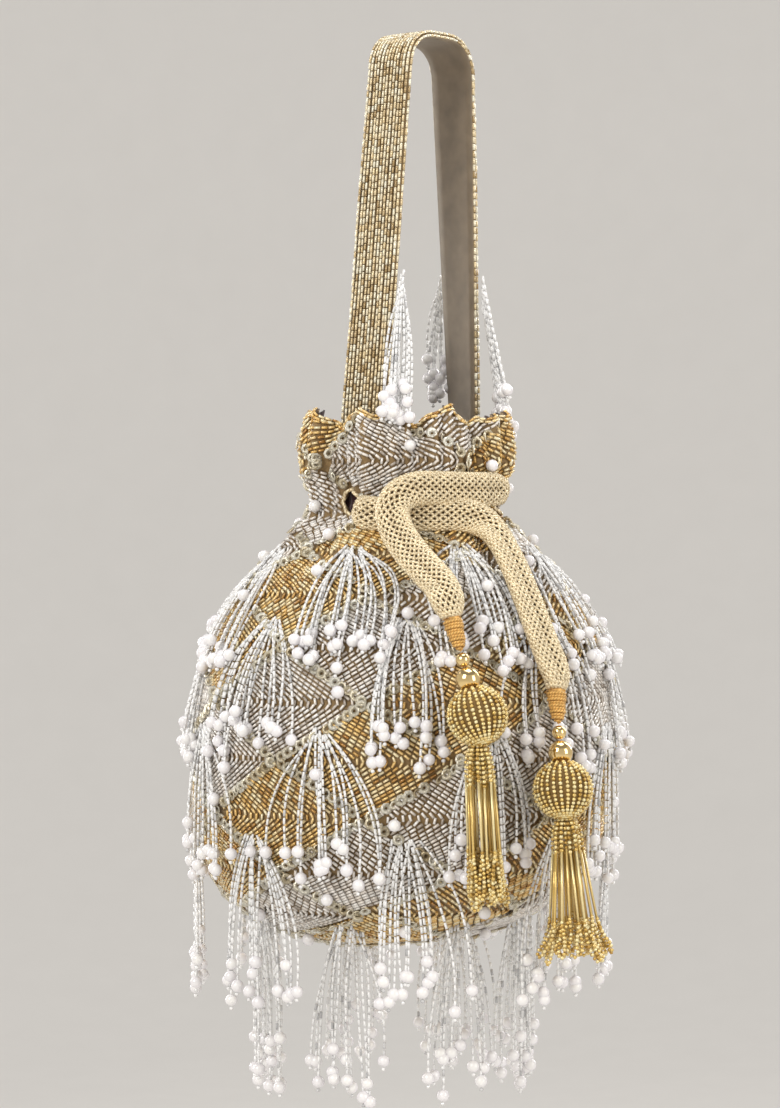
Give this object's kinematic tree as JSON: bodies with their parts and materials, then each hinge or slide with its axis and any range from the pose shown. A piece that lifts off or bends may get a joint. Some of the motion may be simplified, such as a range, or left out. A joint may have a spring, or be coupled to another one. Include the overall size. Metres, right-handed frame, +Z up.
{
  "type": "potli bag",
  "caption": "Beaded drawstring pouch with a hanging bead fringe, a flat beaded hand strap and tasselled drawstrings.",
  "frame": {"origin": "middle of the flat seat under the top of the hand strap, where the bag hangs", "axes": "+Z up as the bag hangs; the tied side of the pouch faces -Y; +X to the right of it"},
  "size_m": [0.1634, 0.1826, 0.3874],
  "materials": {
    "embroidered_cloth": "tissue cloth covered in gold and silver bugle-bead embroidery with sequins",
    "lining_cloth": "dark maroon plain-woven lining",
    "strap_beads": "antique gold bugle beads laid in lengthwise columns",
    "strap_cloth": "taupe woven backing",
    "lame_braid": "pale gold openwork braid",
    "wrap_thread": "orange-gold thread whipping",
    "gold_metal": "polished gold bead",
    "gold_beads": "gold-lined seed and bugle beads",
    "clear_beads": "clear silver-lined bugle beads with white pearls"
  },
  "bodies": {
    "pouch": {"pouch_shell": "embroidered_cloth", "pouch_lining": "lining_cloth", "strap_beadwork": "strap_beads", "strap_lining": "strap_cloth", "drawstring_left": "lame_braid", "drawstring_right": "lame_braid", "thread_wrap_left": "wrap_thread", "thread_wrap_right": "wrap_thread", "fringe_tier1_1": "clear_beads", "fringe_tier1_2": "clear_beads", "fringe_tier1_3": "clear_beads", "fringe_tier1_4": "clear_beads", "fringe_tier1_5": "clear_beads", "fringe_tier1_6": "clear_beads", "fringe_tier1_7": "clear_beads", "fringe_tier1_8": "clear_beads", "fringe_tier2_1": "clear_beads", "fringe_tier2_2": "clear_beads", "fringe_tier2_3": "clear_beads", "fringe_tier2_4": "clear_beads", "fringe_tier2_5": "clear_beads", "fringe_tier2_6": "clear_beads", "fringe_tier2_7": "clear_beads", "fringe_tier2_8": "clear_beads", "fringe_tier3_1": "clear_beads", "fringe_tier3_2": "clear_beads", "fringe_tier3_3": "clear_beads", "fringe_tier3_4": "clear_beads", "fringe_tier3_5": "clear_beads", "fringe_tier3_6": "clear_beads", "fringe_tier3_7": "clear_beads", "fringe_tier3_8": "clear_beads", "fringe_tier4_1": "clear_beads", "fringe_tier4_2": "clear_beads", "fringe_tier4_3": "clear_beads", "fringe_tier4_4": "clear_beads", "fringe_tier4_5": "clear_beads", "fringe_tier4_6": "clear_beads", "fringe_tier4_7": "clear_beads", "fringe_tier4_8": "clear_beads", "fringe_tier5_1": "clear_beads", "fringe_tier5_2": "clear_beads", "fringe_tier5_3": "clear_beads", "fringe_tier5_4": "clear_beads", "fringe_tier5_5": "clear_beads", "fringe_tier5_6": "clear_beads", "fringe_tier5_7": "clear_beads", "fringe_tier5_8": "clear_beads", "strap_fringe_front": "clear_beads", "strap_fringe_back_right": "clear_beads", "strap_fringe_back_left": "clear_beads"},
    "left_tassel": {"small_bead_left": "gold_metal", "large_bead_left": "gold_metal", "ball_head_left": "gold_beads", "skirt_left": "gold_beads"},
    "right_tassel": {"small_bead_right": "gold_metal", "large_bead_right": "gold_metal", "ball_head_right": "gold_beads", "skirt_right": "gold_beads"}
  },
  "joints": [
    {"name": "left_tassel_swing", "type": "hinge", "parent": "pouch", "child": "left_tassel", "pos_m": [0.01245, -0.08529, -0.22181], "axis": [-0.9774, -0.2115, 0], "range_deg": [0, 50]},
    {"name": "right_tassel_swing", "type": "hinge", "parent": "pouch", "child": "right_tassel", "pos_m": [0.04666, -0.07077, -0.24736], "axis": [-0.8023, -0.5969, 0], "range_deg": [0, 50]}
  ]
}
